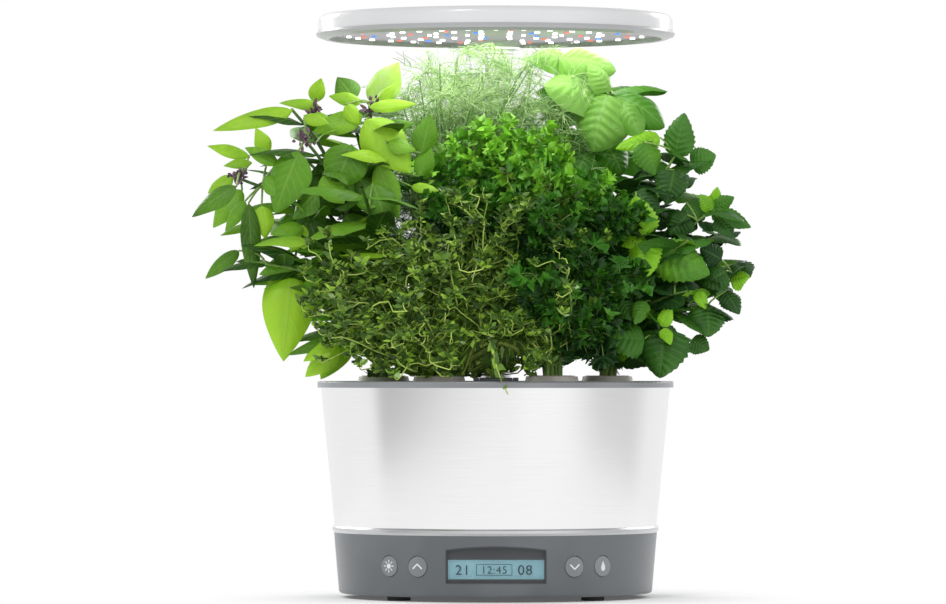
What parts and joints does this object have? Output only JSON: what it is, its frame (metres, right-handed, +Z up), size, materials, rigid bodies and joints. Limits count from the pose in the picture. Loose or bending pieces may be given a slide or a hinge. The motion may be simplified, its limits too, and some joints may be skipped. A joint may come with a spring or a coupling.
{
  "type": "countertop hydroponic garden",
  "caption": "Round countertop hydroponic garden: base with display and buttons, steel-banded water bowl, grow deck with potted herbs, and a round lamp on a sliding post.",
  "frame": {"origin": "on the garden's vertical axis, in the plane of the feet's undersides", "axes": "+Z up, -Y towards the display at the front, +Y towards the lamp's post, +X to the right of someone facing the display"},
  "size_m": [0.4206, 0.339, 0.4575],
  "materials": {
    "base_grey": "satin",
    "base_black": "matte",
    "foot_rubber": "matte",
    "screw_steel": "satin",
    "trim_silver": "metallic gloss",
    "bezel_dark": "satin",
    "clear_lens": "clear",
    "lcd_glass": "satin",
    "circuit_green": "satin",
    "lead_rubber": "matte",
    "coil_copper": "satin",
    "rim_grey": "satin",
    "brushed_steel": "fine brushed",
    "pump_plastic": "satin",
    "foam_black": "foam",
    "deck_plastic": "satin",
    "pod_plastic": "satin",
    "sponge_brown": "peat foam",
    "label_card": "matte",
    "post_silver": "satin anodised",
    "hood_white": "gloss",
    "panel_grey": "satin",
    "sink_aluminium": "matte",
    "led_white": "lit",
    "led_red": "lit",
    "led_blue": "lit",
    "button_grey": "satin",
    "rotor_black": "satin",
    "float_foam": "closed foam",
    "mint_leaf": "leaf",
    "sweet_basil_leaf": "leaf",
    "dill_leaf": "leaf",
    "thai_basil_leaf": "leaf",
    "thyme_leaf": "leaf",
    "parsley_leaf": "leaf"
  },
  "bodies": {
    "base": {"base_housing": "base_grey", "base_floor": "base_black", "feet": "foot_rubber", "foot_screws": "screw_steel", "trim_ring": "trim_silver", "bowl_seat": "base_black", "display_bezel": "bezel_dark", "display_lens": "clear_lens", "lcd_panel": "lcd_glass", "control_board": "circuit_green", "button_brackets": "base_black", "button_switches": "base_black", "power_jack": "base_black", "jack_cradle": "base_black", "power_lead": "lead_rubber", "pump_stator": "coil_copper", "lamp_socket": "base_black"},
    "bowl": {"reservoir": "rim_grey", "steel_sleeve": "brushed_steel", "pump_body": "pump_plastic", "pump_shaft": "screw_steel", "intake_filter": "foam_black", "riser_tube": "pump_plastic", "deck_manifold": "pump_plastic", "float_rod": "pump_plastic", "grow_deck": "deck_plastic", "flap_pin": "screw_steel", "grow_baskets": "pod_plastic", "grow_sponges": "sponge_brown", "pod_labels": "label_card", "column": "post_silver", "column_cap": "post_silver", "lamp_plug": "base_black", "herb_mint": "mint_leaf", "herb_sweet_basil": "sweet_basil_leaf", "herb_dill": "dill_leaf", "herb_thai_basil": "thai_basil_leaf", "herb_thyme": "thyme_leaf", "herb_parsley": "parsley_leaf"},
    "lamp": {"inner_post": "post_silver", "post_bush": "base_black", "hood_collar": "hood_white", "bezel_ring": "trim_silver", "hood_shell": "hood_white", "led_board": "panel_grey", "hood_screws": "screw_steel", "heat_sink": "sink_aluminium", "white_leds": "led_white", "red_leds": "led_red", "blue_leds": "led_blue"},
    "light_button": {"button_light": "button_grey"},
    "up_button": {"button_up": "button_grey"},
    "down_button": {"button_down": "button_grey"},
    "feed_button": {"button_feed": "button_grey"},
    "rotor": {"impeller": "rotor_black"},
    "float": {"water_float": "float_foam"},
    "flap": {"fill_flap": "deck_plastic"}
  },
  "joints": [
    {"name": "bowl_lift", "type": "slide", "parent": "base", "child": "bowl", "axis": [0, 0, 1], "range_m": [0, 0.06]},
    {"name": "lamp_height", "type": "slide", "parent": "bowl", "child": "lamp", "axis": [0, 0, 1], "range_m": [-0.15, 0], "deforming": ["herb_mint", "herb_sweet_basil", "herb_dill", "herb_thai_basil", "herb_thyme", "herb_parsley"]},
    {"name": "light_press", "type": "slide", "parent": "base", "child": "light_button", "axis": [0.6574, 0.7536, 0], "range_m": [0, 0.0008], "stiffness_N_per_m": 600},
    {"name": "up_press", "type": "slide", "parent": "base", "child": "up_button", "axis": [0.4818, 0.8763, 0], "range_m": [0, 0.0008], "stiffness_N_per_m": 600},
    {"name": "down_press", "type": "slide", "parent": "base", "child": "down_button", "axis": [-0.4818, 0.8763, 0], "range_m": [0, 0.0008], "stiffness_N_per_m": 600},
    {"name": "feed_press", "type": "slide", "parent": "base", "child": "feed_button", "axis": [-0.6574, 0.7536, 0], "range_m": [0, 0.0008], "stiffness_N_per_m": 600},
    {"name": "rotor_spin", "type": "hinge", "parent": "bowl", "child": "rotor", "pos_m": [0, 0.04, 0.05], "axis": [0, 0, 1], "continuous": true},
    {"name": "float_rise", "type": "slide", "parent": "bowl", "child": "float", "axis": [0, 0, 1], "range_m": [0, 0.08]},
    {"name": "flap_hinge", "type": "hinge", "parent": "bowl", "child": "flap", "pos_m": [0, -0.0958, 0.1704], "axis": [-1, 0, 0], "range_deg": [0, 95]}
  ]
}
